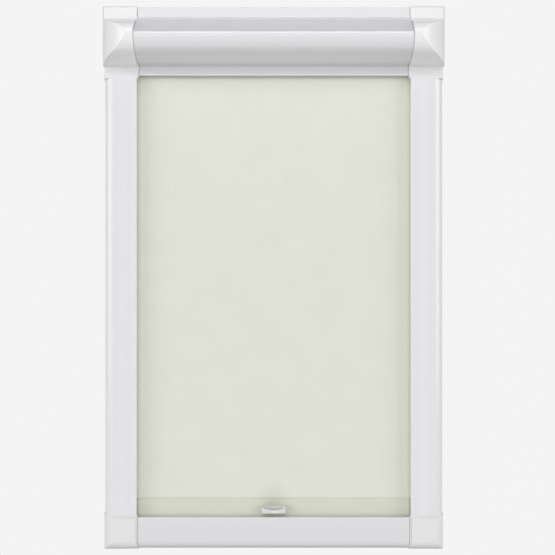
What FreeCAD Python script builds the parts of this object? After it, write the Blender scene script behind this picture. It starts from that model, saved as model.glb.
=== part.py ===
"""Clip-in framed roller blind: a cassette, a four-sided frame, a sprung roller and a sliding bottom bar.

Millimetres. The origin is the middle of the cassette's flat back face, level with the roller's axis.
+X is right as seen from the room, +Z is up, and the room is on the -Y side. Depths are counted
forward from the back face, so a depth d lies at Y = -d.
"""
import FreeCAD, Part
import math
import os

V = FreeCAD.Vector

# ---- frame ---------------------------------------------------------------------------------------
HALF_OPENING = 151.0          # half the clear width between the side profiles
FACE = 36.5                   # width of a profile as seen from the front
DEPTH = 20.0                  # front-to-back depth of a profile
WALL = 2.0                    # wall of the extruded profiles
OUTER_ROUND = 11.5            # radius of a profile's outer front edge
INNER_ROUND = 1.2             # radius of a profile's inner front edge
LIP_BACK = 17.8               # depth at which a profile's inner lip ends and its undercut starts
UNDERCUT = 3.4                # how far the undercut stands back where it meets the channel
RAIL_TOP = -523.7             # upper edge of the bottom rail
CORNER_PROUD = 1.0            # how far a corner stands out beyond the profiles at the sides
CORNER_LIFT = 0.7             # how far a corner stands in front of the profiles
SEAM_X = 149.8                # plane where the corners meet the cassette and the bottom rail
SEAM_TOP = -40.0              # plane where the top corners meet the side profiles
SEAM_BOTTOM = -521.4          # plane where the bottom corners meet the side profiles
SPIGOT = 22.0                 # length of a corner's spigot inside a profile
PLAY = 0.3                    # gap left round anything that slides
JOINT_GAP = 0.35              # gap seen between a corner and the piece it meets

# ---- channel that guides the fabric and the bottom bar, and groove for the brackets --------------
CHANNEL_BACK = 4.4            # depth of the channel's rear wall
CHANNEL_FRONT = 10.6          # depth of the channel's front wall
CHANNEL_REACH = 11.0          # how far the channel goes into a profile
GROOVE_FROM = 12.7            # groove for the window brackets, measured from the opening's edge
GROOVE_TO = 15.3
GROOVE_DEPTH = 9.5

# ---- cassette ------------------------------------------------------------------------------------
FASCIA_TOP = 37.1
FASCIA_WALL = 1.6
FASCIA_START = 12.0           # depth at which the fascia leaves the back rail on top
LIP_BOTTOM = -36.4            # lower edge of the cassette, at the top of the opening
CORNER_GROW = 1.2             # how far the corners' outline stands outside the fascia's
CORNER_WALL = 2.2
SEAM_WEB = 1.6                # thickness of the web that closes a corner where the fascia is lower
DOME_SHELF = -25.7            # height at which the corner's domed end gives way to its short leg
BACK_WALL = 1.8

# ---- roller --------------------------------------------------------------------------------------
AXIS_DEPTH = 20.5
TUBE_R = 12.5
TUBE_BORE_R = 11.7
TUBE_HALF = 158.0
ROLL_R = 12.9                 # outside of the turns left on the tube when the blind is down
FABRIC_HALF = 157.0
FABRIC_THICK = 0.5
FABRIC_BACK = 7.0             # depth of the hanging fabric's rear face
SHAFT_R = 4.0
PIN_R = 3.0
RUNNING = 0.06                # radial clearance of a running fit
BRACKET_X = 161.0             # inner face of the roller's end plates
BRACKET_THICK = 3.0
BOSS_R = 8.0
BOSS_LONG = 9.0
PLATE_FRONT = 38.5            # how far forward an end plate reaches
PLATE_HEIGHTS = (-17.0, 28.0)
SOCKET_R = 5.0                # round socket in the right end plate
SOCKET_DEEP = 7.5
SHAFT_SQUARE = 3.0            # half the width of the shaft's square end
POSTS = [(6.0, 24.0), (34.0, -12.0)]       # (depth, height) of the posts that carry an end plate
POST_R = 3.4
SCREW_R = 1.45
SCREW_GRIP = 9.0              # how far a screw goes into its post
SCREW_HEAD = (2.8, 1.7)       # radius and height of a screw's head

# ---- bottom bar and finger pull ------------------------------------------------------------------
BAR_HALF = 152.4
BAR_TOP = -509.5              # the bar stops short of the hem's welded edge
HEM_TOP = -506.0
HEM_BOTTOM = -530.0
HEM_THICK = 3.6
HEM_SKIN = 0.45
BAR_MID = FABRIC_BACK + FABRIC_THICK / 2
GUIDE_TIP = 161.3
PULL_HALF = 13.35
PULL_TOP = -513.4
PULL_BOTTOM = -521.0
PULL_FRONT = 18.5
PULL_CHEEK = 2.5
PULL_WALL = 1.8
PULL_DIP = 3.6                # how far the front wall dips in the middle, at its inner side
PULL_BEVEL = (1.5, 2.0)       # depth and height of the bevel along the dip
PULL_ROUND = 2.6              # radius of its lower front edge

# ---- window brackets -----------------------------------------------------------------------------
BEAD_DEPTH = 20.0             # depth of the glazing bead the brackets reach over
BRACKET_HEIGHTS = {"upper": -110.0, "lower": -450.0}
BRACKET_WIDE = 24.0
LEG_THICK = 1.2
FOOT_THICK = 0.9
FOOT_REACH = 13.0


def at(x, depth, z):
    return V(x, -depth, z)


def box(x0, x1, d0, d1, z0, z1):
    """A box between two values of X, two depths and two heights."""
    return Part.makeBox(x1 - x0, d1 - d0, z1 - z0, at(x0, d1, z0))


def rod(radius, x0, x1, depth=AXIS_DEPTH, z=0.0):
    """A round bar along X."""
    return Part.makeCylinder(radius, x1 - x0, at(x0, depth, z), V(1, 0, 0))


def mirrored(shape):
    """The left-hand twin of a right-hand shape."""
    return shape.mirror(V(0, 0, 0), V(1, 0, 0))


def face_of(edges):
    return Part.Face(Part.Wire(Part.__sortEdges__(edges)))


def polygon(points):
    return Part.Face(Part.makePolygon(points + points[:1]))


# ---- outlines ------------------------------------------------------------------------------------
def walk(start, heading, steps):
    """Follow a tangent path of (depth, height) points and return its edges' points and its end.

    A step (length, 0) is straight. A step (radius, turn) is an arc that turns by that many degrees,
    to the left if positive. Heading 0 points forward and -90 points down.
    """
    spans = []
    here = start
    for size, turn in steps:
        if turn == 0:
            a = math.radians(heading)
            end = (here[0] + size * math.cos(a), here[1] + size * math.sin(a))
            spans.append((here, end))
        else:
            side = math.copysign(90.0, turn)
            to_centre = math.radians(heading + side)
            centre = (here[0] + size * math.cos(to_centre), here[1] + size * math.sin(to_centre))
            half = math.radians(heading + turn / 2 - side)
            full = math.radians(heading + turn - side)
            middle = (centre[0] + size * math.cos(half), centre[1] + size * math.sin(half))
            end = (centre[0] + size * math.cos(full), centre[1] + size * math.sin(full))
            spans.append((here, middle, end))
            heading += turn
        here = end
    return spans, here, heading


def offset_steps(steps, wall):
    """The same path, moved to its right by wall."""
    moved = []
    for size, turn in steps:
        if turn == 0:
            moved.append((size, turn))
        elif turn > 0:
            moved.append((size + wall, turn))
        else:
            moved.append((size - wall, turn))
    return moved


def offset_start(start, heading, wall):
    a = math.radians(heading)
    return (start[0] + wall * math.sin(a), start[1] - wall * math.cos(a))


def edges_at(x, spans):
    """The edges of a walked path, standing in the plane X = x."""
    edges = []
    for span in spans:
        points = [at(x, d, z) for d, z in span]
        if len(points) == 2:
            edges.append(Part.makeLine(*points))
        else:
            edges.append(Part.Arc(*points).toShape())
    return edges


def straight(x, a, b):
    return Part.makeLine(at(x, *a), at(x, *b))


STRIP_TILT = 1.5              # degrees by which the top strip leans back
SHOULDER = [
    (10.4 - 1.8, 0),                       # forward along the top
    (1.8, -90.0 + STRIP_TILT),             # top front edge
    (10.5, 0),                             # flat strip
    (2.6, 62.0 - STRIP_TILT),              # hollow under the strip
    (22.2, 0),                             # sloping shoulder
    (4.0, -28.0),
    (30.0, -19.0),
    (2.0, -15.0),
]
NOSE_FLAT = [(2.0, 0)]
FASCIA_SHOULDER = [
    (10.4 - 1.8, 0),
    (1.8, -90.0 + STRIP_TILT),
    (8.2, 0),                              # flat strip
    (0.8, 20.0 - STRIP_TILT),
    (0.9, 0),                              # narrow facet along the strip's foot
    (1.2, 42.0),
    (4.0, 0),
    (12.0, -18.0),
    (25.7, 0),                             # long flat slope
    (1.7, -24.0),
    (2.0, 0),                              # narrow facet on top of the nose
    (1.7, -16.0),
    (2.2, 0),
    (1.7, -4.0),
]
TALL = 200.0                  # taller than the whole cassette
BELLY_CORNER = [
    (2.0, -13.0),
    (30.0, -25.0),
    (14.0, -27.0),
    (17.4, 0),                             # straight slope under the belly
    (1.8, -25.0),
    (9.3, 0),                              # flat underside, running back
    (2.4, 80.0),                           # crease under the cassette
]
BELLY_FASCIA = [(2.0, -13.0), (26.0, -25.0), (14.0, -27.0), (16.0, 0), (1.8, -25.0), (10.9, 0), (2.4, 80.0)]
CORNER_FRONT = SHOULDER + NOSE_FLAT + BELLY_CORNER
FASCIA_FRONT = FASCIA_SHOULDER + BELLY_FASCIA
COVE_CORNER = [(0.5, 0), (8.6, 48.0)]
COVE_FASCIA = [(0.5, 0), (7.6, 54.0), (1.7, -25.0), (0.9, 0)]


def fascia():
    """The clip-on front: one thin wall of constant thickness, with narrow facets along its edges."""
    steps = FASCIA_FRONT + COVE_FASCIA
    start = (FASCIA_START, FASCIA_TOP)
    outer, rim_out, heading = walk(start, 0.0, steps)
    inner, rim_in, _ = walk(offset_start(start, 0.0, FASCIA_WALL), 0.0, offset_steps(steps, FASCIA_WALL))
    along = math.radians(heading)
    tip = ((rim_out[0] + rim_in[0]) / 2 + FASCIA_WALL / 2 * math.cos(along),
           (rim_out[1] + rim_in[1]) / 2 + FASCIA_WALL / 2 * math.sin(along))
    x = JOINT_GAP - SEAM_X
    edges = edges_at(x, outer) + edges_at(x, [(rim_out, tip, rim_in)]) + edges_at(x, inner)
    edges.append(straight(x, start, inner[0][0]))
    return face_of(edges).extrude(V(-2 * x, 0, 0))


def back_rail():
    """The rear extrusion of the cassette, with the ledge that the fascia clips over."""
    top = FASCIA_TOP
    ledge = top - FASCIA_WALL - 0.1
    outline = [(0, LIP_BOTTOM), (CHANNEL_BACK, LIP_BOTTOM), (CHANNEL_BACK, LIP_BOTTOM + 1.6),
               (BACK_WALL, LIP_BOTTOM + 1.6), (BACK_WALL, ledge - 1.5), (FASCIA_START + 5, ledge - 1.5),
               (FASCIA_START + 5, ledge), (FASCIA_START - 0.1, ledge), (FASCIA_START - 0.1, top), (0, top)]
    return polygon([at(-SEAM_X, d, z) for d, z in outline]).extrude(V(2 * SEAM_X, 0, 0))


def profile_outline(grow=0.0, lift=0.0):
    """A profile's outside: u runs from the opening's edge outwards, d forward."""
    u1 = FACE + grow
    front = DEPTH + lift
    r = OUTER_ROUND + min(grow, lift)
    s = INNER_ROUND + min(grow, lift)
    if grow < 0:
        s = 0.0
    u0 = min(0.0, grow) * -1
    back = u0
    k = math.sqrt(0.5)
    edges = [Part.makeLine(V(u0, -back, 0), V(u0, -(front - s), 0))]
    if s:
        edges.append(Part.Arc(V(u0, -(front - s), 0), V(u0 + s * (1 - k), -(front - s * (1 - k)), 0),
                              V(u0 + s, -front, 0)).toShape())
    edges.append(Part.makeLine(V(u0 + s, -front, 0), V(u1 - r, -front, 0)))
    edges.append(Part.Arc(V(u1 - r, -front, 0), V(u1 - r * (1 - k), -(front - r * (1 - k)), 0),
                          V(u1, -(front - r), 0)).toShape())
    edges.append(Part.makeLine(V(u1, -(front - r), 0), V(u1, -back, 0)))
    edges.append(Part.makeLine(V(u1, -back, 0), V(u0, -back, 0)))
    return face_of(edges)


def undercut(length):
    """The wedge taken from behind a profile's inner lip, so that the fabric is seen right up to it."""
    outline = [V(-1, -CHANNEL_FRONT + 0.1, 0), V(UNDERCUT, -CHANNEL_FRONT + 0.1, 0),
               V(UNDERCUT, -CHANNEL_FRONT, 0), V(0, -LIP_BACK, 0), V(-1, -LIP_BACK, 0)]
    return polygon(outline).extrude(V(0, 0, length))


def profile(length):
    """A hollow profile standing on Z = 0, with its channel, its bracket groove and two chambers."""
    solid = profile_outline().extrude(V(0, 0, length))
    inside = profile_outline(-WALL, -WALL).extrude(V(0, 0, length))
    web = CHANNEL_FRONT + WALL
    front_chamber = inside.common(box(UNDERCUT + 1.0, FACE, web, DEPTH, 0, length))
    side_chamber = inside.common(box(GROOVE_TO + WALL, FACE, WALL, CHANNEL_FRONT, 0, length))
    channel = box(-1, CHANNEL_REACH, CHANNEL_BACK, CHANNEL_FRONT, 0, length)
    groove = box(GROOVE_FROM, GROOVE_TO, -1, GROOVE_DEPTH, 0, length)
    for hollow in (front_chamber, side_chamber, channel, groove, undercut(length)):
        solid = solid.cut(hollow)
    return solid


def side_profile():
    solid = profile(SEAM_TOP - JOINT_GAP - SEAM_BOTTOM)
    solid.translate(V(HALF_OPENING, 0, SEAM_BOTTOM))
    return solid


def laid(shape, x0):
    """Turn a profile that stands on Z = 0 into one that runs along X, facing the opening."""
    shape.rotate(V(0, 0, 0), V(0, 1, 0), 90)
    shape.translate(V(x0, 0, RAIL_TOP))
    return shape


def bottom_profile():
    return laid(profile(2 * (SEAM_X - JOINT_GAP)), JOINT_GAP - SEAM_X)


# ---- corners -------------------------------------------------------------------------------------
SPIGOT_IN = GROOVE_TO + WALL + PLAY
SPIGOT_OUT = FACE - WALL - 1.0
SPIGOT_BACK = WALL + PLAY
SPIGOT_FRONT = CHANNEL_FRONT - PLAY


def softened(shape, wanted, radius):
    """Round the edges for which wanted(edge) is true, and keep the shape as it is if that fails."""
    edges = [edge for edge in shape.Edges if wanted(edge)]
    rounded = shape.makeFillet(radius, edges)
    return rounded if rounded.isValid() and rounded.Volume > 0.9 * shape.Volume else shape


def on_plane(edge, axis, value):
    """True if the edge lies in the plane where that coordinate has that value."""
    bounds = edge.BoundBox
    low, high = {"x": (bounds.XMin, bounds.XMax), "z": (bounds.ZMin, bounds.ZMax)}[axis]
    return abs(low - value) < 1e-3 and abs(high - value) < 1e-3


def bottom_corner():
    """The right bottom corner: two grown profiles mitred into each other, with a small gusset."""
    reach = FACE + CORNER_PROUD
    low = RAIL_TOP - reach
    upright = profile_outline(CORNER_PROUD, CORNER_LIFT).extrude(V(0, 0, SEAM_BOTTOM - low))
    upright.translate(V(HALF_OPENING, 0, low))
    level = laid(profile_outline(CORNER_PROUD, CORNER_LIFT).extrude(V(0, 0, HALF_OPENING + reach - SEAM_X)),
                 SEAM_X)
    block = box(HALF_OPENING, HALF_OPENING + reach, 0, 2 * DEPTH, low, RAIL_TOP)
    body = upright.common(level)
    body = body.fuse([upright.cut(block), level.cut(block)])
    gusset = [(HALF_OPENING, SEAM_BOTTOM), (HALF_OPENING + 3, SEAM_BOTTOM), (HALF_OPENING + 3, RAIL_TOP - 3),
              (SEAM_X, RAIL_TOP - 3), (SEAM_X, RAIL_TOP + 1.2)]
    gusset = polygon([at(x, LIP_BACK, z) for x, z in gusset]).extrude(V(0, LIP_BACK - DEPTH + 0.5, 0))
    body = body.fuse(gusset).removeSplitter()
    body = softened(body, lambda e: on_plane(e, "z", SEAM_BOTTOM) and e.BoundBox.YMin < -8, 0.5)
    body = softened(body, lambda e: on_plane(e, "x", SEAM_X) and e.BoundBox.YMin < -8, 0.5)
    body = body.cut(box(SEAM_X - 1, HALF_OPENING + CHANNEL_REACH, CHANNEL_BACK, CHANNEL_FRONT,
                        RAIL_TOP - CHANNEL_REACH, SEAM_BOTTOM + 1))
    upright_wedge = undercut(SEAM_BOTTOM - RAIL_TOP + UNDERCUT + 1)
    upright_wedge.translate(V(HALF_OPENING, 0, RAIL_TOP - UNDERCUT))
    level_wedge = laid(undercut(HALF_OPENING - SEAM_X + UNDERCUT + 1), SEAM_X - 1)
    body = body.cut(upright_wedge).cut(level_wedge)
    up = box(HALF_OPENING + SPIGOT_IN, HALF_OPENING + SPIGOT_OUT, SPIGOT_BACK, SPIGOT_FRONT,
             SEAM_BOTTOM - 1, SEAM_BOTTOM + SPIGOT)
    across = box(SEAM_X - SPIGOT, SEAM_X + 1, SPIGOT_BACK, SPIGOT_FRONT,
                 RAIL_TOP - SPIGOT_OUT, RAIL_TOP - SPIGOT_IN)
    pocket = box(HALF_OPENING + GROOVE_TO + WALL, HALF_OPENING + FACE - WALL, -1, GROOVE_DEPTH,
                 RAIL_TOP - FACE + WALL, RAIL_TOP - GROOVE_TO - WALL)
    return body.fuse([up, across]).cut(pocket).removeSplitter()


DOME_FLANK_DEPTH = 18.0       # depth at which the dome starts to curve in from the outer edge
DOME_MIDDLE = (175.2, 39.2)   # a point half-way round the dome, as (X, depth)
DOME_CREST = (157.0, 51.2)    # where the dome meets the straight nose


def dome_plan(inset=0.0):
    """The top corner seen from above."""
    outer = HALF_OPENING + FACE + CORNER_PROUD - inset
    start = V(outer, -DOME_FLANK_DEPTH, 0)
    middle = V(DOME_MIDDLE[0] - inset * 0.8, -DOME_MIDDLE[1] + inset * 0.7, 0)
    crest = V(DOME_CREST[0] - inset * 0.3, -DOME_CREST[1] + inset, 0)
    inner = SEAM_X - 2
    corners = [crest, V(inner, crest.y, 0), V(inner, 1, 0), V(outer, 1, 0), start]
    edges = [Part.Arc(start, middle, crest).toShape()]
    for a, b in zip(corners, corners[1:]):
        edges.append(Part.makeLine(a, b))
    return face_of(edges)


def cassette_section(x, grow, front, with_cove=False):
    """The cassette's section in the plane X = x, with that front outline, closed by the flat back."""
    start = (FASCIA_START, FASCIA_TOP)
    steps = front + COVE_CORNER if with_cove else front[:-1]
    spans, end, heading = walk(offset_start(start, 0.0, -grow), 0.0, offset_steps(steps, -grow))
    top = spans[0][0][1]
    foot = end
    edges = edges_at(x, spans)
    if with_cove:
        run = (end[1] - SEAM_TOP) / math.tan(math.radians(-heading))
        foot = (end[0] + run, SEAM_TOP)
        edges.append(straight(x, end, foot))
    back = BACK_WALL if grow < 0 else 0.0
    edges.append(straight(x, foot, (back, foot[1])))
    edges.append(straight(x, (back, foot[1]), (back, top)))
    edges.append(straight(x, (back, top), spans[0][0]))
    return face_of(edges)


def top_corner():
    """The right top corner: the cassette's section closed by a curved end, on a short leg."""
    outer = HALF_OPENING + FACE + CORNER_PROUD
    whole = cassette_section(SEAM_X, CORNER_GROW, CORNER_FRONT, True).extrude(V(outer - SEAM_X, 0, 0))
    plan = dome_plan().extrude(V(0, 0, TALL))
    plan.translate(V(0, 0, DOME_SHELF))
    leg_plan = profile_outline(CORNER_PROUD, CORNER_LIFT).extrude(V(0, 0, TALL))
    leg_plan.translate(V(HALF_OPENING, 0, DOME_SHELF - TALL))
    inner_strip = box(SEAM_X, HALF_OPENING, 0, 15.0, SEAM_TOP + 1.6, DOME_SHELF)
    leg = whole.common(leg_plan.fuse(inner_strip))
    body = whole.common(plan).fuse(leg).removeSplitter()
    body = softened(body, lambda e: on_plane(e, "x", SEAM_X) and e.BoundBox.YMin < -11, 0.5)
    cavity = cassette_section(SEAM_X, CORNER_GROW - CORNER_WALL, CORNER_FRONT)
    mouth = cassette_section(SEAM_X - 1, -FASCIA_WALL, FASCIA_FRONT).extrude(V(SEAM_WEB + 2, 0, 0))
    web = box(SEAM_X - 1, SEAM_X + SEAM_WEB, 0, TALL, -TALL, TALL).cut(mouth)
    cavity = cavity.extrude(V(outer - SEAM_X, 0, 0)).cut(web).fuse(mouth)
    inner_plan = dome_plan(CORNER_WALL).extrude(V(0, 0, TALL))
    inner_plan.translate(V(0, 0, DOME_SHELF))
    body = body.cut(cavity.common(inner_plan))
    body = body.cut(box(SEAM_X - 1, HALF_OPENING + CHANNEL_REACH, CHANNEL_BACK, CHANNEL_FRONT,
                        SEAM_TOP - 1, DOME_SHELF + 10))
    down = box(HALF_OPENING + SPIGOT_IN, HALF_OPENING + SPIGOT_OUT, SPIGOT_BACK, SPIGOT_FRONT,
               SEAM_TOP - SPIGOT, SEAM_TOP + 1)
    tongue = box(SEAM_X - SPIGOT, SEAM_X + WALL, BACK_WALL + 0.1, CHANNEL_BACK - PLAY, -14, 14)
    tongue = tongue.fuse(box(SEAM_X, SEAM_X + WALL, 0, CHANNEL_BACK - PLAY, -14, 14))
    plate_outside = BRACKET_X + BRACKET_THICK
    posts = [rod(POST_R, plate_outside, outer - 1.5, d, z).common(plan) for d, z in POSTS]
    body = body.fuse([down, tongue] + posts)
    for d, z in POSTS:
        body = body.cut(rod(SCREW_R, BRACKET_X, plate_outside + SCREW_GRIP, d, z))
    return body


# ---- roller and its supports ---------------------------------------------------------------------
def end_plate(socket):
    """A plate with a boss on the roller's axis, pierced by the given socket."""
    x0 = BRACKET_X
    room = cassette_section(x0, CORNER_GROW - CORNER_WALL - 0.5, CORNER_FRONT)
    room = room.extrude(V(BRACKET_THICK, 0, 0))
    plate = box(x0, x0 + BRACKET_THICK, BACK_WALL + 0.4, PLATE_FRONT, *PLATE_HEIGHTS).common(room)
    boss = rod(BOSS_R, x0, x0 + BOSS_LONG)
    plate = plate.fuse(boss).cut(socket)
    for d, z in POSTS:
        plate = plate.cut(rod(SCREW_R + 0.15, x0 - 1, x0 + BRACKET_THICK + 1, d, z))
    return plate.removeSplitter()


def square_bar(half, x0, x1):
    return box(x0, x1, AXIS_DEPTH - half, AXIS_DEPTH + half, -half, half)


def roller_bracket_left():
    return mirrored(end_plate(square_bar(SHAFT_SQUARE, BRACKET_X - 1, BRACKET_X + SOCKET_DEEP)))


def roller_bracket_right():
    return end_plate(rod(SOCKET_R, BRACKET_X - 1, BRACKET_X + SOCKET_DEEP))


def idle_socket_bush():
    """The plastic bush in the right end plate that the idle pin turns in."""
    bore = rod(PIN_R + RUNNING, BRACKET_X - 1, BRACKET_X + SOCKET_DEEP - 1)
    return rod(SOCKET_R, BRACKET_X, BRACKET_X + SOCKET_DEEP).cut(bore)


def bracket_screws():
    """Two pan-head screws through each end plate."""
    screws = []
    radius, height = SCREW_HEAD
    top = BRACKET_X - height
    for d, z in POSTS:
        head = rod(radius, top, BRACKET_X, d, z)
        head = head.makeFillet(0.7, [e for e in head.Edges if on_plane(e, "x", top)])
        slot = box(top - 0.1, top + 0.6, d - 0.35, d + 0.35, z - 2, z + 2)
        cross = box(top - 0.1, top + 0.6, d - 2, d + 2, z - 0.35, z + 0.35)
        shank = rod(SCREW_R, BRACKET_X, BRACKET_X + BRACKET_THICK + SCREW_GRIP - 0.5, d, z)
        screw = head.fuse(shank).cut(slot).cut(cross)
        screws += [screw, mirrored(screw)]
    return Part.makeCompound(screws)


SPRING_FROM = -126.0
SPRING_TO = 10.0
SPRING_TURNS = 26
SPRING_MEAN_R = 6.8
SPRING_WIRE_R = 0.7
ANCHOR_R = 9.0
ANCHOR_LONG = 8.0


def spring_shaft():
    """The fixed shaft inside the roller; its square end sits in the left end plate."""
    shaft = rod(SHAFT_R, -BRACKET_X + 1.0, 31.0)
    square = square_bar(SHAFT_SQUARE, -BRACKET_X - SOCKET_DEEP + 0.5, -BRACKET_X + 1.5)
    return shaft.fuse(square).removeSplitter()


def spring_anchor():
    """The collar that holds the fixed end of the torsion spring on the shaft."""
    end = SPRING_TO + ANCHOR_LONG
    return rod(ANCHOR_R, SPRING_TO, end).cut(rod(SHAFT_R + 0.02, SPRING_TO - 1, end + 1))


def coil_along_x(x0, x1, mean_r, wire_r, turns, depth, z):
    """A spring between two values of X, with each turn of its wire as a ring of its own."""
    pitch = (x1 - x0 - 2 * wire_r) / (turns - 1)
    rings = []
    for turn in range(turns):
        middle = at(x0 + wire_r + turn * pitch, depth, z)
        rings.append(Part.makeTorus(mean_r, wire_r, middle, V(1, 0, 0)))
    return Part.makeCompound(rings)


def torsion_spring():
    """The coil that winds the fabric up, drawn open so that its turns stay apart."""
    return coil_along_x(SPRING_FROM, SPRING_TO, SPRING_MEAN_R, SPRING_WIRE_R, SPRING_TURNS, AXIS_DEPTH, 0.0)


def roller_tube():
    return rod(TUBE_R, -TUBE_HALF, TUBE_HALF).cut(rod(TUBE_BORE_R, -TUBE_HALF, TUBE_HALF))


def tube_plug(x0, bore_r):
    """A plug in the right end of the tube, from x0 to the tube's end, with a flange outside."""
    plug = rod(TUBE_BORE_R, x0, TUBE_HALF).fuse(rod(TUBE_R, TUBE_HALF, TUBE_HALF + 1.4))
    return plug.cut(rod(bore_r, x0 - 1, TUBE_HALF + 2)).removeSplitter()


def drive_plug():
    """Joins the tube to the torsion spring and turns on the shaft."""
    return mirrored(tube_plug(-SPRING_FROM + PLAY, SHAFT_R + RUNNING))


def inner_bush():
    """Carries the middle of the tube on the shaft's free end."""
    return rod(TUBE_BORE_R, 21.0, 29.0).cut(rod(SHAFT_R + RUNNING, 20.0, 30.0))


IDLE_SPRING = (130.0, 144.0)
IDLE_COLLAR = 2.0


def idle_plug():
    """Holds the sprung idle pin in the right end of the tube."""
    plug = tube_plug(IDLE_SPRING[0] - 4.0, PIN_R + RUNNING)
    return plug.cut(rod(5.2, IDLE_SPRING[0], IDLE_SPRING[1] + IDLE_COLLAR + PLAY))


def idle_pin():
    pin = rod(PIN_R, IDLE_SPRING[0] - 2.0, BRACKET_X + 6.0)
    pin = pin.makeFillet(0.8, [e for e in pin.Edges if on_plane(e, "x", BRACKET_X + 6.0)])
    return pin.fuse(rod(4.8, IDLE_SPRING[1], IDLE_SPRING[1] + IDLE_COLLAR)).removeSplitter()


def idle_spring():
    return coil_along_x(IDLE_SPRING[0], IDLE_SPRING[1], 4.1, 0.45, 6, AXIS_DEPTH, 0.0)


def fabric_roll():
    """The turns of fabric that stay on the tube when the blind is down."""
    return rod(ROLL_R, -FABRIC_HALF, FABRIC_HALF).cut(rod(TUBE_R, -FABRIC_HALF, FABRIC_HALF))


def fabric_sheet():
    return box(-FABRIC_HALF, FABRIC_HALF, FABRIC_BACK, FABRIC_BACK + FABRIC_THICK, HEM_TOP + PLAY, 0.0)


# ---- bottom bar ----------------------------------------------------------------------------------
TENON = 8.0
SHOE_BACK = 154.0             # inner end of the pocket that holds a brake shoe and its spring
SHOE_FROM = 156.6
SHOE_TIP = 161.7
SHOE_HALF_Z = 4.0
SHOE_HALF_D = 1.5


def pull_pegs(reach):
    """The two pegs that hold the finger pull on the bar, lengthened by reach at the back."""
    z = (PULL_TOP + PULL_BOTTOM) / 2
    back = BAR_MID - HEM_THICK / 2 - reach
    return [Part.makeCylinder(1.5, PULL_FRONT - PULL_WALL - 6 - back, at(x, PULL_FRONT - PULL_WALL - 6, z),
                              V(0, 1, 0)) for x in (-8.0, 8.0)]


def hem_core(skin, top=HEM_TOP):
    """A flat bar with rounded edges that fills the hem, less a skin of that thickness all round."""
    half = HEM_THICK / 2 - skin
    slab = box(-FABRIC_HALF, FABRIC_HALF, BAR_MID - half, BAR_MID + half, HEM_BOTTOM + skin, top - skin)
    long_edges = [e for e in slab.Edges if e.Length > FABRIC_HALF]
    return slab.makeFillet(half * 0.85, long_edges)


def hem_pocket():
    """The fabric sleeve that wraps the bottom bar."""
    pocket = hem_core(0.0).cut(hem_core(HEM_SKIN))
    half = BAR_HALF + 1.0
    pocket = pocket.common(box(-half, half, 0, 20, HEM_BOTTOM - 1, HEM_TOP + 1))
    for peg in pull_pegs(1.0):
        pocket = pocket.cut(peg)
    return pocket


def bottom_bar():
    whole = hem_core(HEM_SKIN + 0.02, BAR_TOP + HEM_SKIN)
    bar = whole.common(box(-BAR_HALF, BAR_HALF, 0, 20, HEM_BOTTOM, HEM_TOP))
    for peg in pull_pegs(1.0):
        bar = bar.cut(peg)
    tenon = guide_tenon()
    return bar.cut(tenon).cut(mirrored(tenon))


def guide_tenon():
    """The right guide's tongue, which sits in a slot in the bar's end."""
    mid = (HEM_TOP + HEM_BOTTOM) / 2
    return box(BAR_HALF - TENON, BAR_HALF, BAR_MID - 0.5, BAR_MID + 0.5, mid - 6, mid + 6)


def bar_end():
    """The right guide: it plugs into the bar and runs in the side channel."""
    mid = (HEM_TOP + HEM_BOTTOM) / 2
    block = box(BAR_HALF + 1.0, GUIDE_TIP, BAR_MID - 2.3, BAR_MID + 2.3, HEM_BOTTOM + 1, HEM_TOP - 1)
    block = block.makeFillet(1.0, [e for e in block.Edges if e.BoundBox.XMin > GUIDE_TIP - 0.01])
    neck = box(BAR_HALF, BAR_HALF + 1.5, BAR_MID - 1.0, BAR_MID + 1.0, mid - 9, mid + 9)
    pocket = box(SHOE_BACK, GUIDE_TIP + 1, BAR_MID - SHOE_HALF_D - PLAY, BAR_MID + SHOE_HALF_D + PLAY,
                 mid - SHOE_HALF_Z - PLAY, mid + SHOE_HALF_Z + PLAY)
    return block.fuse([neck, guide_tenon()]).cut(pocket).removeSplitter()


def brake_shoe():
    """The sprung pad that presses on the floor of the side channel."""
    mid = (HEM_TOP + HEM_BOTTOM) / 2
    shoe = box(SHOE_FROM, SHOE_TIP, BAR_MID - SHOE_HALF_D, BAR_MID + SHOE_HALF_D,
               mid - SHOE_HALF_Z, mid + SHOE_HALF_Z)
    return shoe.makeFillet(0.6, [e for e in shoe.Edges if e.BoundBox.XMin > SHOE_TIP - 0.01])


def brake_spring():
    return coil_along_x(SHOE_BACK, SHOE_FROM, 1.1, 0.2, 4, BAR_MID, (HEM_TOP + HEM_BOTTOM) / 2)


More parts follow.
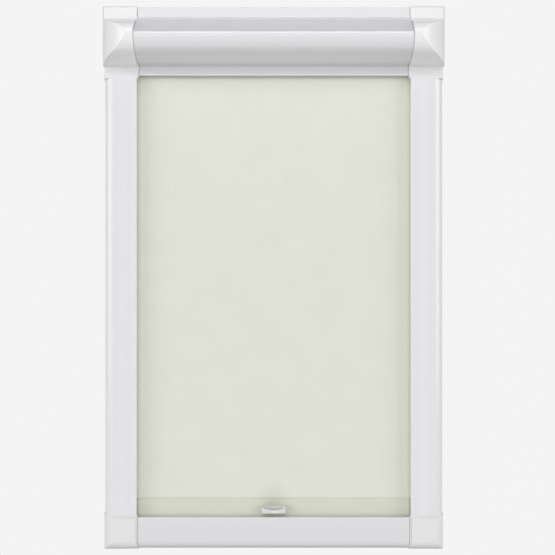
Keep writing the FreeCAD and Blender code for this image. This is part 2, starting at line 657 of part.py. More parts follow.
def finger_pull():
    """The small pull: a cup open at the top whose front wall dips in the middle."""
    back = BAR_MID + HEM_THICK / 2 + 0.05
    cup = box(-PULL_HALF, PULL_HALF, back, PULL_FRONT, PULL_BOTTOM, PULL_TOP)
    cup = cup.makeFillet(PULL_ROUND, [e for e in cup.Edges if e.BoundBox.YMax < -PULL_FRONT + 0.01
                                      and on_plane(e, "z", PULL_BOTTOM)])
    cup = softened(cup, lambda e: e.BoundBox.YMax < -back - 1 and (on_plane(e, "x", PULL_HALF)
                                                                   or on_plane(e, "x", -PULL_HALF)), 1.0)
    inner = PULL_HALF - PULL_CHEEK
    scoop = box(-inner, inner, back + 1.6, PULL_FRONT - PULL_WALL, PULL_BOTTOM + 1.5, PULL_TOP + 2)
    scoop = scoop.makeFillet(1.4, [e for e in scoop.Edges if e.BoundBox.ZMax < PULL_BOTTOM + 1.6
                                   or e.BoundBox.ZLength > 2])
    half_chord = PULL_HALF - 1.3
    dip_r = (half_chord ** 2 + PULL_DIP ** 2) / (2 * PULL_DIP)
    z = PULL_TOP - PULL_DIP + dip_r
    dip = Part.makeCylinder(dip_r, PULL_WALL + 1, at(0, PULL_FRONT, z), V(0, 1, 0))
    deep, high = PULL_BEVEL
    bevel = Part.makeCone(dip_r + 2 * high, dip_r, 2 * deep, at(0, PULL_FRONT + deep, z), V(0, 1, 0))
    front_wall = box(-PULL_HALF, PULL_HALF, PULL_FRONT - PULL_WALL - 1, PULL_FRONT + 5, PULL_BOTTOM, 0)
    dip = dip.fuse(bevel).common(front_wall)
    cup = cup.cut(scoop).cut(dip)
    return cup.fuse(pull_pegs(0.0)).removeSplitter()


def pull_clip():
    """The plate behind the hem that the finger pull's pegs snap into."""
    back = BAR_MID - HEM_THICK / 2 - 0.05
    z = (PULL_TOP + PULL_BOTTOM) / 2
    plate = box(-11.5, 11.5, back - 0.9, back, z - 3, z + 3)
    return plate.makeFillet(2.0, [e for e in plate.Edges if abs(e.Length - 0.9) < 1e-6])


# ---- window brackets -----------------------------------------------------------------------------
def window_bracket(z):
    """A right-hand bracket: a toothed leg in the frame's groove and a foot behind the glazing bead."""
    x = HALF_OPENING + (GROOVE_FROM + GROOVE_TO) / 2
    z0 = z - BRACKET_WIDE / 2
    z1 = z + BRACKET_WIDE / 2
    leg = box(x - LEG_THICK / 2, x + LEG_THICK / 2, -BEAD_DEPTH, GROOVE_DEPTH - 0.5, z0, z1)
    foot = box(x - LEG_THICK / 2, x + FOOT_REACH, -BEAD_DEPTH - FOOT_THICK, -BEAD_DEPTH, z0, z1)
    teeth = []
    for step in range(12):
        d = 8.0 - 2.2 * step
        outline = [at(x - 1.0, d, z0), at(x - 1.0, d - 0.3, z0), at(x, d - 1.3, z0),
                   at(x + 1.0, d - 0.3, z0), at(x + 1.0, d, z0)]
        teeth.append(polygon(outline).extrude(V(0, 0, BRACKET_WIDE)))
    return leg.fuse([foot] + teeth).removeSplitter()


# ---- all pieces ----------------------------------------------------------------------------------
def pieces():
    right = {
        "side_profile": side_profile(),
        "bottom_corner": bottom_corner(),
        "top_corner": top_corner(),
        "bar_end": bar_end(),
        "brake_shoe": brake_shoe(),
        "brake_spring": brake_spring(),
    }
    for place, z in BRACKET_HEIGHTS.items():
        right["window_bracket_" + place] = window_bracket(z)
    nodes = {
        "cassette_fascia": fascia(),
        "cassette_back_rail": back_rail(),
        "bottom_profile": bottom_profile(),
        "roller_bracket_left": roller_bracket_left(),
        "roller_bracket_right": roller_bracket_right(),
        "idle_socket_bush": idle_socket_bush(),
        "bracket_screws": bracket_screws(),
        "spring_shaft": spring_shaft(),
        "spring_anchor": spring_anchor(),
        "torsion_spring": torsion_spring(),
        "roller_tube": roller_tube(),
        "drive_plug": drive_plug(),
        "inner_bush": inner_bush(),
        "idle_plug": idle_plug(),
        "idle_pin": idle_pin(),
        "idle_spring": idle_spring(),
        "fabric_roll": fabric_roll(),
        "fabric_sheet": fabric_sheet(),
        "hem_pocket": hem_pocket(),
        "bottom_bar": bottom_bar(),
        "finger_pull": finger_pull(),
        "pull_clip": pull_clip(),
    }
    for name, shape in right.items():
        nodes[name + "_right"] = shape
        nodes[name + "_left"] = mirrored(shape)
    return nodes


os.makedirs("parts", exist_ok=True)
for node, solid in pieces().items():
    solid.exportStep("parts/" + node + ".step")
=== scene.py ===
"""Looks of the framed roller blind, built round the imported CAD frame. Blender 4.5, metres.

+X is right as seen from the room, +Z is up, and the room is on the -Y side.
"""
import math

import bmesh
import bpy
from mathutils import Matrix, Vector, noise


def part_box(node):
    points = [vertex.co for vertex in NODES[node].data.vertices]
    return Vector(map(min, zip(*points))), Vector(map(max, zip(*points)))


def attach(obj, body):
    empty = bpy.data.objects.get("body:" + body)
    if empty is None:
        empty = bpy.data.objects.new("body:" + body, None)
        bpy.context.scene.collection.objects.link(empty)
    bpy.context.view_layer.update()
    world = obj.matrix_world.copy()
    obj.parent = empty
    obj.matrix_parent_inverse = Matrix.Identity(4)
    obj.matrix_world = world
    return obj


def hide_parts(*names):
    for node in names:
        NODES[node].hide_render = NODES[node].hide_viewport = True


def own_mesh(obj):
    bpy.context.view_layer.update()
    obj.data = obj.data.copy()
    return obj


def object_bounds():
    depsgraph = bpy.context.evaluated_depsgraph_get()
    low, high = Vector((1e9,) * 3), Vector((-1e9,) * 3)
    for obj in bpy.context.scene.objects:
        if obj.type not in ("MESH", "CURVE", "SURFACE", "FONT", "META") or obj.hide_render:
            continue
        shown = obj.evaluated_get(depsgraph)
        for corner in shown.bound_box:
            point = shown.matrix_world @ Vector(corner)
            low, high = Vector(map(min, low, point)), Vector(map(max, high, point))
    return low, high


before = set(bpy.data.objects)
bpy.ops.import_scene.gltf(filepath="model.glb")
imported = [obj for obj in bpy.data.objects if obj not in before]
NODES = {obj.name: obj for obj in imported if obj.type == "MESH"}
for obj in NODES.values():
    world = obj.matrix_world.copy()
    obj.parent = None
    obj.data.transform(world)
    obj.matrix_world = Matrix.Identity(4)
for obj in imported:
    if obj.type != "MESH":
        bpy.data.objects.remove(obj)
CAD_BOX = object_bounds()
MM = 0.001

# ---- camera, light and floor -------------------------------------------------------------------------
VIEW_DISTANCE = 0.850            # from the frame's front plane to the lens
VIEW_RISE = 0.002                # how far the lens is above the middle of the blind
FRAME_DEPTH = 0.020
FOCAL = 50.1                     # mm, on a sensor 36 mm wide
SENSOR = 36.0
SIDE_SHIFT = 0.0068
BACKGROUND = 0.905               # linear grey of the pale backdrop
BAND_GLOW = 0.68                 # level of the lit band round the horizon
OVERHEAD_GLOW = 0.12             # level straight overhead
BAND_TOP, BAND_END = 0.10, 0.65  # heights on the unit sphere between which the band fades
LAMP_DISTANCE = 3.0
FLOOR_RADIUS = 2.4
FLOOR_DROP = 1.05                # how far the floor is below the blind's foot


def add_camera():
    """Straight in front of the blind, half-way up it."""
    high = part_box("cassette_back_rail")[1]
    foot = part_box("bottom_profile")[0].z
    data = bpy.data.cameras.new("camera")
    data.lens = FOCAL
    data.sensor_width = SENSOR
    data.shift_x = SIDE_SHIFT
    data.clip_start = 0.01
    camera = bpy.data.objects.new("camera", data)
    height = (high.z + foot) / 2 + VIEW_RISE
    camera.location = (0.0, -(FRAME_DEPTH + VIEW_DISTANCE), height)
    camera.rotation_euler = (math.radians(90.0), 0.0, 0.0)
    bpy.context.scene.collection.objects.link(camera)
    bpy.context.scene.camera = camera


def add_soft_sun(name, azimuth, elevation, spread, level, only=(), in_gloss=False):
    """Soft even light from far away. Level is the share of full white that it adds to a facing surface.

    Azimuth 0 comes from the camera's side and positive azimuths from the right. With only, the light
    falls on those nodes alone, as a flagged lamp in a studio does. Without in_gloss, it doesn't
    show in reflections.
    """
    data = bpy.data.lights.new(name, "SUN")
    data.angle = math.radians(spread)
    data.energy = level * math.pi
    light = bpy.data.objects.new(name, data)
    light.rotation_euler = (math.radians(90 - elevation), 0.0, math.radians(azimuth))
    light.visible_glossy = in_gloss
    bpy.context.scene.collection.objects.link(light)
    if only:
        group = bpy.data.collections.new(name + "_lights")
        for node in only:
            group.objects.link(NODES[node])
        light.light_linking.receiver_collection = group


def add_highlight_strip(name, elevation, size, level, centre):
    """A narrow lamp above the camera that only shows in the gloss, as a thin line along rounded edges."""
    e = math.radians(elevation)
    away = Vector((0.0, -math.cos(e), math.sin(e)))
    data = bpy.data.lights.new(name, "AREA")
    data.shape = "RECTANGLE"
    data.size, data.size_y = size
    data.energy = level * size[0] * size[1] * math.pi
    light = bpy.data.objects.new(name, data)
    light.location = Vector(centre) + LAMP_DISTANCE * away
    light.rotation_euler = away.to_track_quat("Z", "Y").to_euler()
    light.visible_diffuse = False
    bpy.context.scene.collection.objects.link(light)


def add_lamps():
    """Soft front light, bounce from below, a lamp at each side, and a line of gloss along the nose."""
    corners = ("top_corner_left", "top_corner_right")
    add_soft_sun("key", -3.0, 35.0, 30.0, 0.27)
    add_soft_sun("bounce", 0.0, -60.0, 40.0, 0.07)
    add_soft_sun("bounce_on_ends", 0.0, -35.0, 40.0, 0.26, only=corners)
    add_soft_sun("bounce_on_lip", 0.0, -8.0, 30.0, 0.06, only=("cassette_fascia",))
    add_soft_sun("side_left", -58.0, 10.0, 40.0, 0.28, in_gloss=True)
    add_soft_sun("side_right", 58.0, 10.0, 40.0, 0.27, in_gloss=True)
    add_highlight_strip("line_top", 56.0, (5.0, 0.5), 4.0, (0.0, -0.04, 0.0))


def add_world():
    """A pale backdrop for the camera, and for lighting a bright band all round that fades overhead."""
    bpy.context.scene.view_settings.view_transform = "Standard"
    world = bpy.data.worlds.new("studio")
    bpy.context.scene.world = world
    world.use_nodes = True
    w = Wiring(world)
    w.nodes.clear()
    place = w.add("TexCoord")
    split = w.add("SeparateXYZ")
    w.join(place.outputs["Generated"], split.inputs[0])
    fade = w.add("MapRange", interpolation_type="SMOOTHSTEP")
    fade.inputs["From Min"].default_value = BAND_TOP
    fade.inputs["From Max"].default_value = BAND_END
    fade.inputs["To Min"].default_value = BAND_GLOW
    fade.inputs["To Max"].default_value = OVERHEAD_GLOW
    w.join(split.outputs["Z"], fade.inputs["Value"])
    sky = w.add("Background")
    w.join(fade.outputs["Result"], sky.inputs["Strength"])
    sky.inputs["Color"].default_value = (1.0, 1.0, 1.0, 1.0)
    seen = w.add("Background")
    seen.inputs["Color"].default_value = (BACKGROUND, BACKGROUND, BACKGROUND, 1.0)
    ray = w.add("LightPath")
    mix = w.add("MixShader")
    w.join(ray.outputs["Is Camera Ray"], mix.inputs["Fac"])
    w.join(sky.outputs[0], mix.inputs[1])
    w.join(seen.outputs[0], mix.inputs[2])
    w.join(mix.outputs[0], w.add("OutputWorld").inputs["Surface"])


def add_floor():
    """A plain pale disc well below the blind, which hangs at window height."""
    mesh = bpy.data.meshes.new("floor")
    shape = bmesh.new()
    bmesh.ops.create_circle(shape, cap_ends=True, segments=96, radius=FLOOR_RADIUS)
    shape.to_mesh(mesh)
    shape.free()
    floor = bpy.data.objects.new("floor", mesh)
    floor.location = (0.0, 0.0, CAD_BOX[0][2] - FLOOR_DROP)
    bpy.context.scene.collection.objects.link(floor)
    floor.data.materials.append(new_material("pale_floor", (0.82, 0.82, 0.81), 0.75)[0])


# ---- materials ---------------------------------------------------------------------------------------
FINE_BUMP = 0.00004              # heights of surface texture, in metres
DRAWN_BUMP = 0.00005
BUMP = 0.00006
WEAVE_BUMP = 0.00012
DRAW_ALONG = {"x": (0, 1, 1), "z": (1, 1, 0)}    # the axes across an extrusion's length
THREAD = 0.00048                 # pitch of the fabric's threads
PULL_SHADOW_PATCHES = ((0.030, 0.034, 0.13), (0.018, 0.012, 0.16))    # half width, half height and depth of the painted shadow round the finger pull
# Grey of the painted shadow round the finger pull.
PULL_SHADOW_GREY = (0.10, 0.10, 0.115, 1.0)


def new_material(name, colour, roughness, metallic=0.0):
    material = bpy.data.materials.new(name)
    material.use_nodes = True
    bsdf = material.node_tree.nodes["Principled BSDF"]
    bsdf.inputs["Base Color"].default_value = (*colour, 1.0)
    bsdf.inputs["Roughness"].default_value = roughness
    bsdf.inputs["Metallic"].default_value = metallic
    return material, bsdf


class Wiring:
    """Short names for adding nodes to a material or a world."""

    def __init__(self, material):
        self.nodes = material.node_tree.nodes
        self.links = material.node_tree.links

    def add(self, kind, **values):
        node = self.nodes.new("ShaderNode" + kind)
        for key, value in values.items():
            setattr(node, key, value)
        return node

    def join(self, a, b):
        self.links.new(a, b)

    def coords(self, scale, source="Object"):
        """Object coordinates in metres, times scale: one number for all axes, or one for each."""
        if isinstance(scale, float):
            scale = (scale, scale, scale)
        place = self.add("TexCoord")
        mapping = self.add("Mapping")
        mapping.inputs["Scale"].default_value = scale
        self.join(place.outputs[source], mapping.inputs["Vector"])
        return mapping.outputs[0]

    def noise(self, vector, detail, roughness=0.5):
        node = self.add("TexNoise")
        node.inputs["Scale"].default_value = 1.0
        node.inputs["Detail"].default_value = detail
        node.inputs["Roughness"].default_value = roughness
        self.join(vector, node.inputs["Vector"])
        return node.outputs["Fac"]

    def spread(self, value, low, high, from_low=0.3, from_high=0.7):
        """Stretch a noise's middle values over low to high."""
        node = self.add("MapRange")
        node.inputs["From Min"].default_value = from_low
        node.inputs["From Max"].default_value = from_high
        node.inputs["To Min"].default_value = low
        node.inputs["To Max"].default_value = high
        self.join(value, node.inputs["Value"])
        return node.outputs["Result"]

    def math(self, operation, a, b=None):
        node = self.add("Math", operation=operation)
        for slot, value in zip(node.inputs, (a, b)):
            if value is None:
                continue
            if isinstance(value, (int, float)):
                slot.default_value = value
            else:
                self.join(value, slot)
        return node.outputs[0]

    def tint(self, factor, dark, light):
        """A colour from dark to light as factor goes from 0 to 1."""
        node = self.add("Mix", data_type="RGBA")
        node.inputs["A"].default_value = (*dark, 1.0)
        node.inputs["B"].default_value = (*light, 1.0)
        self.join(factor, node.inputs["Factor"])
        return node.outputs["Result"]

    def bump(self, height, strength, distance, normal=None):
        node = self.add("Bump")
        node.inputs["Strength"].default_value = strength
        node.inputs["Distance"].default_value = distance
        self.join(height, node.inputs["Height"])
        if normal is not None:
            self.join(normal, node.inputs["Normal"])
        return node.outputs[0]

    def rounded(self, radius):
        """A normal that rounds sharp edges to a radius."""
        node = self.add("Bevel", samples=6)
        node.inputs["Radius"].default_value = radius
        return node.outputs[0]


def extruded_pvc(name, along, white=0.80, draw=1.0):
    """White extruded PVC: satin gloss with faint draw lines along one axis, draw times as deep."""
    material, bsdf = new_material(name, (white, white, white + 0.01), 0.30)
    w = Wiring(material)
    fine = tuple(900.0 if crossways else 0.6 for crossways in DRAW_ALONG[along])
    broad = tuple(120.0 if crossways else 0.4 for crossways in DRAW_ALONG[along])
    lines = w.noise(w.coords(fine), detail=2.0)
    bands = w.noise(w.coords(broad), detail=2.0)
    cloud = w.noise(w.coords(14.0), detail=4.0)
    dark, light = white - 0.016 * draw, white + 0.012 * draw
    w.join(w.tint(w.spread(bands, 0.0, 1.0), (dark, dark, dark + 0.025), (light, light, light + 0.02)),
           bsdf.inputs["Base Color"])
    w.join(w.spread(cloud, 0.30, 0.34), bsdf.inputs["Roughness"])
    height = w.math("ADD", w.math("MULTIPLY", lines, 0.35), bands)
    w.join(w.bump(height, 0.22 * draw, BUMP), bsdf.inputs["Normal"])
    bsdf.inputs["Coat Weight"].default_value = 0.5
    bsdf.inputs["Coat Roughness"].default_value = 0.09
    return material


def moulded_pvc(name):
    """White injection-moulded plastic: a little smoother and finely textured."""
    material, bsdf = new_material(name, (0.80, 0.80, 0.81), 0.32)
    w = Wiring(material)
    grain = w.noise(w.coords(2600.0), detail=2.0)
    flow = w.noise(w.coords(22.0), detail=4.0)
    w.join(w.tint(w.spread(flow, 0.0, 1.0), (0.79, 0.79, 0.80), (0.815, 0.815, 0.825)),
           bsdf.inputs["Base Color"])
    w.join(w.spread(flow, 0.29, 0.38), bsdf.inputs["Roughness"])
    w.join(w.bump(grain, 0.12, FINE_BUMP, w.rounded(0.5 * MM)), bsdf.inputs["Normal"])
    bsdf.inputs["Coat Weight"].default_value = 0.4
    bsdf.inputs["Coat Roughness"].default_value = 0.12
    return material


def pull_plastic(name):
    """The finger pull: off-white, glossier and slightly warmer than the frame."""
    material, bsdf = new_material(name, (0.70, 0.695, 0.68), 0.18)
    w = Wiring(material)
    haze = w.noise(w.coords(160.0), detail=4.0)
    w.join(w.tint(w.spread(haze, 0.0, 1.0), (0.68, 0.675, 0.66), (0.725, 0.72, 0.705)),
           bsdf.inputs["Base Color"])
    w.join(w.spread(haze, 0.14, 0.26), bsdf.inputs["Roughness"])
    w.join(w.bump(haze, 0.05, FINE_BUMP, w.rounded(0.3 * MM)), bsdf.inputs["Normal"])
    bsdf.inputs["Coat Weight"].default_value = 0.4
    return material


def matte_nylon(name, colour=(0.78, 0.78, 0.76)):
    """Moulded nylon: dull, with a fine spark-eroded grain."""
    material, bsdf = new_material(name, colour, 0.5)
    w = Wiring(material)
    grain = w.noise(w.coords(1500.0), detail=2.0)
    flow = w.noise(w.coords(60.0), detail=4.0)
    darker = tuple(0.93 * c for c in colour)
    w.join(w.tint(w.spread(flow, 0.0, 1.0), darker, colour), bsdf.inputs["Base Color"])
    w.join(w.spread(flow, 0.42, 0.58), bsdf.inputs["Roughness"])
    w.join(w.bump(grain, 0.2, BUMP, w.rounded(0.3 * MM)), bsdf.inputs["Normal"])
    return material


def drawn_metal(name, colour, roughness):
    """Metal drawn or turned along X, with fine lines in that direction."""
    material, bsdf = new_material(name, colour, roughness, 1.0)
    w = Wiring(material)
    lines = w.noise(w.coords((20.0, 2500.0, 2500.0)), detail=3.0)
    stain = w.noise(w.coords(40.0), detail=4.0)
    darker = tuple(0.86 * c for c in colour)
    w.join(w.tint(w.spread(stain, 0.0, 1.0), darker, colour), bsdf.inputs["Base Color"])
    w.join(w.spread(lines, roughness - 0.08, roughness + 0.1), bsdf.inputs["Roughness"])
    w.join(w.bump(lines, 0.15, DRAWN_BUMP), bsdf.inputs["Normal"])
    return material


def woven_fabric(name, colour, pull_shadow_at=None):
    """A coated plain weave, read from UVs that are in metres along the cloth.

    The third argument is how far down the cloth the finger pull sits; round that point the colour is
    darkened as a painted shadow of the pull.
    """
    material, bsdf = new_material(name, colour, 0.78)
    w = Wiring(material)
    place = w.coords((1 / THREAD, 1 / THREAD, 1.0), "UV")
    split = w.add("SeparateXYZ")
    w.join(place, split.inputs[0])
    u, v = split.outputs["X"], split.outputs["Y"]
    warp = w.math("SINE", w.math("MULTIPLY", u, math.pi))
    weft = w.math("SINE", w.math("MULTIPLY", v, math.pi))
    over = w.math("MULTIPLY", warp, weft)
    crown = w.math("ADD", w.math("ABSOLUTE", warp), w.math("ABSOLUTE", weft))
    weave = w.math("ADD", w.math("MULTIPLY", over, 0.6), w.math("MULTIPLY", crown, 0.4))
    slub_across = w.noise(w.coords((9.0, 1400.0, 1.0), "UV"), detail=2.0)
    slub_down = w.noise(w.coords((1400.0, 9.0, 1.0), "UV"), detail=2.0)
    slubs = w.math("ADD", slub_across, slub_down)
    cloud = w.noise(w.coords((26.0, 26.0, 1.0), "UV"), detail=5.0, roughness=0.6)
    shade = w.math("ADD", w.math("MULTIPLY", slubs, 0.5), w.math("MULTIPLY", cloud, 0.8))
    darker = tuple(c * 0.965 for c in colour)
    lighter = tuple(c * 1.012 for c in colour)
    tone = w.tint(w.spread(shade, 0.0, 1.0, 0.65, 1.15), darker, lighter)
    # Painted shadow of the finger pull, darkening the cloth round it.
    if pull_shadow_at is not None:
        tone = painted_pull_shadow(w, tone, pull_shadow_at)
    w.join(tone, bsdf.inputs["Base Color"])
    w.join(w.spread(cloud, 0.72, 0.84), bsdf.inputs["Roughness"])
    height = w.math("ADD", w.math("MULTIPLY", weave, 0.5), w.math("MULTIPLY", slubs, 0.5))
    w.join(w.bump(height, 0.35, WEAVE_BUMP), bsdf.inputs["Normal"])
    bsdf.inputs["Sheen Weight"].default_value = 0.12
    bsdf.inputs["Sheen Roughness"].default_value = 0.5
    bsdf.inputs["Specular IOR Level"].default_value = 0.3
    return material


def painted_pull_shadow(w, tone, down):
    """Painted shadow: darken a colour softly round the point that is down metres along the cloth's
    middle, where the finger pull sits.
    """
    place = w.add("TexCoord")
    for reach_x, reach_y, amount in PULL_SHADOW_PATCHES:
        shift = w.add("Mapping", vector_type="TEXTURE")
        shift.inputs["Location"].default_value = (0.0, down, 0.0)
        shift.inputs["Scale"].default_value = (reach_x, reach_y, 1.0)
        w.join(place.outputs["UV"], shift.inputs["Vector"])
        far = w.add("VectorMath", operation="LENGTH")
        w.join(shift.outputs[0], far.inputs[0])
        fade = w.add("MapRange", interpolation_type="SMOOTHERSTEP")
        fade.inputs["From Min"].default_value = 0.0
        fade.inputs["From Max"].default_value = 1.0
        fade.inputs["To Min"].default_value = amount
        fade.inputs["To Max"].default_value = 0.0
        w.join(far.outputs["Value"], fade.inputs["Value"])
        mix = w.add("Mix", data_type="RGBA", blend_type="MULTIPLY")
        mix.inputs["B"].default_value = PULL_SHADOW_GREY
        w.join(fade.outputs["Result"], mix.inputs["Factor"])
        w.join(tone, mix.inputs["A"])
        tone = mix.outputs["Result"]
    return tone


def dress(material, *names):
    """Give CAD nodes a material."""
    for name in names:
        mesh = NODES[name].data
        mesh.materials.clear()
        mesh.materials.append(material)


# ---- cloth -------------------------------------------------------------------------------------------
CLOTH = 0.45 * MM                # thickness of the fabric
INTO_HEM = 1.0 * MM              # how far the hanging sheet reaches into the hem
UNEVEN = 0.5 * MM
# The hem's front from its top edge down past the weld: distances in front of the middle and heights.
WELD = ((0.10, 0.0), (0.42, -0.35), (0.30, -0.95), (0.55, -1.5), (1.05, -2.3), (1.45, -3.4))
HEM_FLAT = (5.5, 9.0, 13.0, 17.0)    # rows on the hem's flat front, in mm below its top edge


def strip_object(name, rows, widths, material):
    """A sheet swept along X: rows are (y, z, v) along the cloth and widths are the X places.

    A row's y may be a function of X.
    """
    mesh = bpy.data.meshes.new(name)
    verts = [(x, y(x) if callable(y) else y, z) for y, z, _ in rows for x in widths]
    count = len(widths)
    faces = []
    for r in range(len(rows) - 1):
        for c in range(count - 1):
            a = r * count + c
            faces.append((a, a + count, a + count + 1, a + 1))
    mesh.from_pydata(verts, [], faces)
    layer = mesh.uv_layers.new(name="cloth")
    for poly in mesh.polygons:
        for loop in poly.loop_indices:
            vertex = mesh.loops[loop].vertex_index
            layer.data[loop].uv = (widths[vertex % count], rows[vertex // count][2])
    mesh.polygons.foreach_set("use_smooth", [True] * len(mesh.polygons))
    mesh.materials.append(material)
    piece = bpy.data.objects.new(name, mesh)
    bpy.context.scene.collection.objects.link(piece)
    return piece


def thicken(piece, thickness):
    """Give a sheet its thickness, half on each side, and apply it."""
    solid = piece.modifiers.new("thickness", "SOLIDIFY")
    solid.thickness = thickness
    solid.offset = 0.0
    graph = bpy.context.evaluated_depsgraph_get()
    mesh = bpy.data.meshes.new_from_object(piece.evaluated_get(graph))
    piece.modifiers.clear()
    piece.data = mesh


def spaced(low, high, count):
    """count numbers from low to high, evenly spaced."""
    return [low + (high - low) * i / (count - 1) for i in range(count)]


def sheet_length():
    """From the roll down to a little inside the hem's welded edge."""
    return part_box("fabric_sheet")[1].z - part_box("hem_pocket")[1].z + INTO_HEM


def hanging_sheet(material):
    """The fabric between the roll and the hem: flat and tensioned, with the slightest unevenness."""
    low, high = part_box("fabric_sheet")
    middle = (low.y + high.y) / 2
    length = sheet_length()
    rows = []
    for z in spaced(high.z, high.z - length, 150):
        ease = math.sin(math.pi * (high.z - z) / length) ** 0.5

        def depth(x, z=z, ease=ease):
            broad = noise.noise(Vector((x * 7.0, 3.0, z * 4.5)))
            fine = noise.noise(Vector((x * 16.0, 8.0, z * 9.0)))
            return middle + UNEVEN * ease * (broad + 0.5 * fine)

        rows.append((depth, z, high.z - z))
    piece = strip_object("fabric_hanging", rows, spaced(low.x, high.x, 110), material)
    thicken(piece, CLOTH)
    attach(piece, "frame")
    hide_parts("fabric_sheet")
    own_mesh(piece)


def rolled_turns(material):
    """The last turns of fabric on the tube, as one spiral that leaves it at the back."""
    low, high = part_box("fabric_roll")
    y0 = (low.y + high.y) / 2
    z0 = (low.z + high.z) / 2
    outer = (high.y - low.y) / 2 - CLOTH / 2
    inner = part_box("roller_tube")[1].y - y0 + CLOTH / 2
    turns = 0.98
    steps = 139
    step = turns * 2 * math.pi / steps
    rows = []
    run = 0.0
    for i in range(steps + 1):
        radius = outer + (inner - outer) * i / steps
        rows.append((y0 + radius * math.cos(-step * i), z0 + radius * math.sin(-step * i), run))
        run += radius * step
    piece = strip_object("fabric_turns", rows, spaced(low.x, high.x, 12), material)
    thicken(piece, CLOTH * 0.9)
    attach(piece, "roller")
    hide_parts("fabric_roll")


def hem(material):
    """The sleeve round the bottom bar, welded shut along its top edge."""
    low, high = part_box("hem_pocket")
    middle = (low.y + high.y) / 2
    half = (high.y - low.y) / 2 - CLOTH / 2
    top, foot = high.z, low.z + CLOTH / 2
    front = [(middle - ahead * MM, top + height * MM) for ahead, height in WELD]
    front += [(middle - half, top - down * MM) for down in HEM_FLAT]
    corner = half * 0.95
    fold = []
    for a in spaced(0.0, math.pi, 9):
        fold.append((middle - half * math.cos(a), foot + corner - corner * math.sin(a)))
    back = [(2 * middle - y, z) for y, z in front[::-1]]
    line = front + fold + back
    rows = []
    run = 0.0
    start = sheet_length() - INTO_HEM
    for i, (y, z) in enumerate(line):
        if i:
            run += math.dist(line[i - 1], (y, z))
        rows.append((y, z, start + run))
    piece = strip_object("fabric_hem", rows, spaced(low.x, high.x, 90), material)
    thicken(piece, CLOTH * 0.85)
    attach(piece, "bottom_bar")
    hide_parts("hem_pocket")


# ---- springs -----------------------------------------------------------------------------------------
PER_TURN, ROUND_WIRE = 22, 8     # divisions of a spring's turn and of its wire


def helix_spring(name, node, turns, wire, material, body):
    """A real helix in place of the CAD rings, along X and inside their box."""
    low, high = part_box(node)
    y0, z0 = (low.y + high.y) / 2, (low.z + high.z) / 2
    mean = (high.z - low.z) / 2 - wire
    mesh = bpy.data.meshes.new(name)
    verts, faces = [], []
    total = turns * PER_TURN
    first, last = low.x + wire, high.x - wire
    for i in range(total + 1):
        a = 2 * math.pi * i / PER_TURN
        x = first + (last - first) * i / total
        for k in range(ROUND_WIRE):
            b = 2 * math.pi * k / ROUND_WIRE
            r = mean + wire * math.cos(b)
            verts.append((x + wire * math.sin(b), y0 + r * math.cos(a), z0 + r * math.sin(a)))
    for i in range(total):
        for k in range(ROUND_WIRE):
            a, b = i * ROUND_WIRE + k, i * ROUND_WIRE + (k + 1) % ROUND_WIRE
            faces.append((a, b, b + ROUND_WIRE, a + ROUND_WIRE))
    faces.append(tuple(range(ROUND_WIRE))[::-1])
    faces.append(tuple(range(total * ROUND_WIRE, (total + 1) * ROUND_WIRE)))
    mesh.from_pydata(verts, [], faces)
    mesh.polygons.foreach_set("use_smooth", [True] * len(mesh.polygons))
    mesh.materials.append(material)
    piece = bpy.data.objects.new(name, mesh)
    bpy.context.scene.collection.objects.link(piece)
    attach(piece, body)
    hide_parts(node)
    return piece


def pressed_spring(name, node, turns, wire, material, body):
    """A helix as helix_spring makes it, with a mesh of its own."""
    # The idle pin and the brake shoes press inwards, so the inner end is the fixed one.
    piece = helix_spring(name, node, turns, wire, material, body)
    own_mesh(piece)


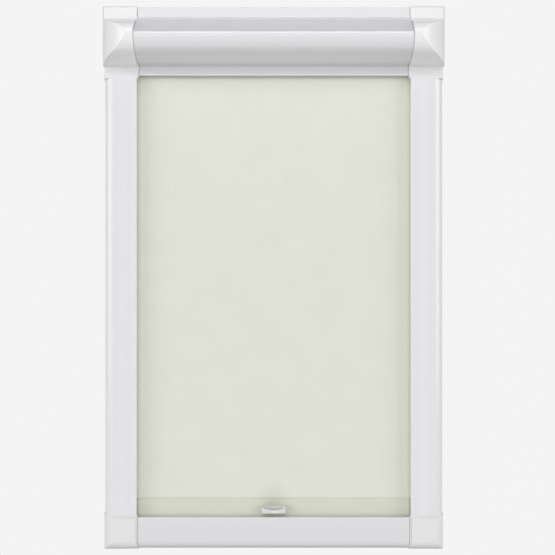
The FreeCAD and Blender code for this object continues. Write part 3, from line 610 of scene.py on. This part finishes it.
# ---- build -------------------------------------------------------------------------------------------
def main():
    add_camera()
    add_world()
    add_floor()
    dress(extruded_pvc("pvc_upright", "z"), "side_profile_left", "side_profile_right")
    # Painted shade: the fascia and back rail are the uprights' white PVC made darker (0.765 against
    # 0.80), where that PVC would be lit less.
    dress(extruded_pvc("pvc_level_painted_shade", "x", 0.765, 2.2), "cassette_fascia", "cassette_back_rail")
    # Painted shade: the bottom rail is the same white PVC made darker (0.745), where it would be lit
    # less.
    dress(extruded_pvc("pvc_rail_painted_shade", "x", 0.745), "bottom_profile")
    dress(moulded_pvc("moulded_white"), "top_corner_left", "top_corner_right", "bottom_corner_left",
          "bottom_corner_right")
    dress(pull_plastic("pull_plastic"), "finger_pull")
    dress(matte_nylon("nylon"), "roller_bracket_left", "roller_bracket_right", "bar_end_left",
          "bar_end_right", "drive_plug", "idle_plug", "inner_bush", "idle_socket_bush", "spring_anchor",
          "brake_shoe_left", "brake_shoe_right", "pull_clip")
    dress(matte_nylon("bracket_white", (0.82, 0.82, 0.81)), "window_bracket_upper_left",
          "window_bracket_upper_right", "window_bracket_lower_left", "window_bracket_lower_right")
    zinc = drawn_metal("zinc", (0.66, 0.67, 0.69), 0.32)
    dress(zinc, "bracket_screws")
    dress(drawn_metal("turned_steel", (0.56, 0.57, 0.58), 0.3), "spring_shaft", "idle_pin")
    dress(drawn_metal("mill_aluminium", (0.80, 0.81, 0.82), 0.36), "roller_tube", "bottom_bar")
    pull_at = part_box("fabric_sheet")[1].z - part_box("finger_pull")[1].z
    # The cloth gets a painted shadow round the finger pull.
    cloth = woven_fabric("sage_cream_weave", (0.765, 0.780, 0.685), pull_at)
    # The hem's cloth is the same weave made about a tenth darker: painted shade on the hem.
    shaded_hem_cloth = woven_fabric("sage_cream_weave_hem_painted_shade", (0.685, 0.698, 0.597), pull_at)
    dress(cloth, "fabric_sheet", "fabric_roll", "hem_pocket")
    dress(zinc, "torsion_spring", "idle_spring", "brake_spring_left", "brake_spring_right")

    hem(shaded_hem_cloth)
    hanging_sheet(cloth)
    rolled_turns(cloth)
    helix_spring("spring_torsion", "torsion_spring", 25, 0.7 * MM, zinc, "frame")
    pressed_spring("spring_idle", "idle_spring", 6, 0.45 * MM, zinc, "roller")
    for side in ("left", "right"):
        pressed_spring("spring_brake_" + side, "brake_spring_" + side, 4, 0.2 * MM, zinc, "bottom_bar")
    add_lamps()


main()
bpy.context.view_layer.update()
